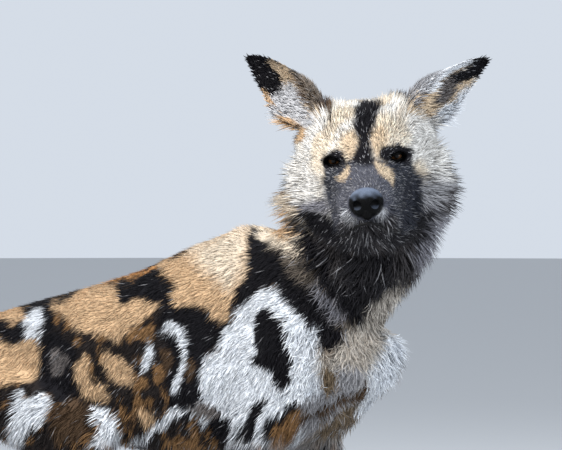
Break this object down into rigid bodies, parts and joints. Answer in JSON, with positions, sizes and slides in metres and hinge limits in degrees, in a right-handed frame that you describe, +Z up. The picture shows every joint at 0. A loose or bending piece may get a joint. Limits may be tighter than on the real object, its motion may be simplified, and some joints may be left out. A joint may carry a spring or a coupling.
{
  "type": "life-size african wild dog model",
  "caption": "Life-size still model of an African wild dog standing in mid step, head turned to its right, with a mottled coat, rounded ears and a bushy tail",
  "frame": {"origin": "on the floor under the middle of the model's box", "axes": "+X is forward along the trunk, +Y is the animal's left, +Z is up"},
  "size_m": [0.95, 0.283, 0.8802],
  "materials": {
    "coat_dark": "short to shaggy hair, blackish brown with tan, orange and white patches",
    "coat_pale": "dense short hair, cream and tan with a dark mask and muzzle",
    "horn": "dark, worn, half-glossy claw horn",
    "eye": "wet, glossy, dark amber-brown eye",
    "nose_skin": "moist, pebbled black nose skin"
  },
  "bodies": {
    "root": {"head": "coat_pale", "nose": "nose_skin", "eye_right": "eye", "eye_left": "eye", "ear_right": "coat_pale", "ear_left": "coat_pale", "neck": "coat_dark", "foreleg_right": "coat_dark", "foreleg_left": "coat_dark", "hindleg_right": "coat_dark", "hindleg_left": "coat_dark", "tail": "coat_dark", "torso": "coat_dark", "claw_fore_right_1": "horn", "claw_fore_right_2": "horn", "claw_fore_right_3": "horn", "claw_fore_right_4": "horn", "claw_fore_left_1": "horn", "claw_fore_left_2": "horn", "claw_fore_left_3": "horn", "claw_fore_left_4": "horn", "claw_hind_right_1": "horn", "claw_hind_right_2": "horn", "claw_hind_right_3": "horn", "claw_hind_right_4": "horn", "claw_hind_left_1": "horn", "claw_hind_left_2": "horn", "claw_hind_left_3": "horn", "claw_hind_left_4": "horn"}
  },
  "joints": []
}
